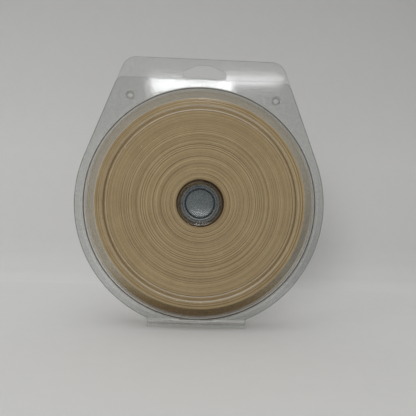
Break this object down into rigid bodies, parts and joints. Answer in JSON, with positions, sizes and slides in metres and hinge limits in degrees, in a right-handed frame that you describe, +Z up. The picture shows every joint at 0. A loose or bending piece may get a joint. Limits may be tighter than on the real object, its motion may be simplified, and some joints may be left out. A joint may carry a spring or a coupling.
{
  "type": "masking tape roll",
  "caption": "Coreless roll of tape in a clear hinged clamshell pack with a hang tab, hub cups and a narrow foot.",
  "frame": {"origin": "middle of the underside of the foot that the pack stands on, where the two halves' meeting plane cuts it", "axes": "+Z up, +X to the right of someone facing the pack, +Y from the pack's front to its back"},
  "size_m": [0.1818, 0.0274, 0.1947],
  "materials": {
    "clear_sheet": "gloss, clear",
    "tape": "matte"
  },
  "bodies": {
    "back_half": {"back_shell": "clear_sheet", "back_fold_web": "clear_sheet"},
    "foot": {"hinge_spine": "clear_sheet", "front_fold_web": "clear_sheet"},
    "front_half": {"front_shell": "clear_sheet"},
    "roll": {"tape_coil": "tape"},
    "tail": {"tape_tail": "tape"}
  },
  "joints": [
    {"name": "back_fold", "type": "hinge", "parent": "back_half", "child": "foot", "pos_m": [0, 0.0038, 0.0002], "axis": [1, 0, 0], "range_deg": [0, 90]},
    {"name": "front_fold", "type": "hinge", "parent": "foot", "child": "front_half", "pos_m": [0, -0.0038, 0.0002], "axis": [1, 0, 0], "range_deg": [0, 90]},
    {"name": "roll_spin", "type": "hinge", "parent": "back_half", "child": "roll", "pos_m": [0, 0, 0.089], "axis": [0, 1, 0], "continuous": true},
    {"name": "tail_peel", "type": "hinge", "parent": "roll", "child": "tail", "pos_m": [0.01533, 0, 0.01661], "axis": [0, -1, 0], "range_deg": [0, 12]}
  ]
}
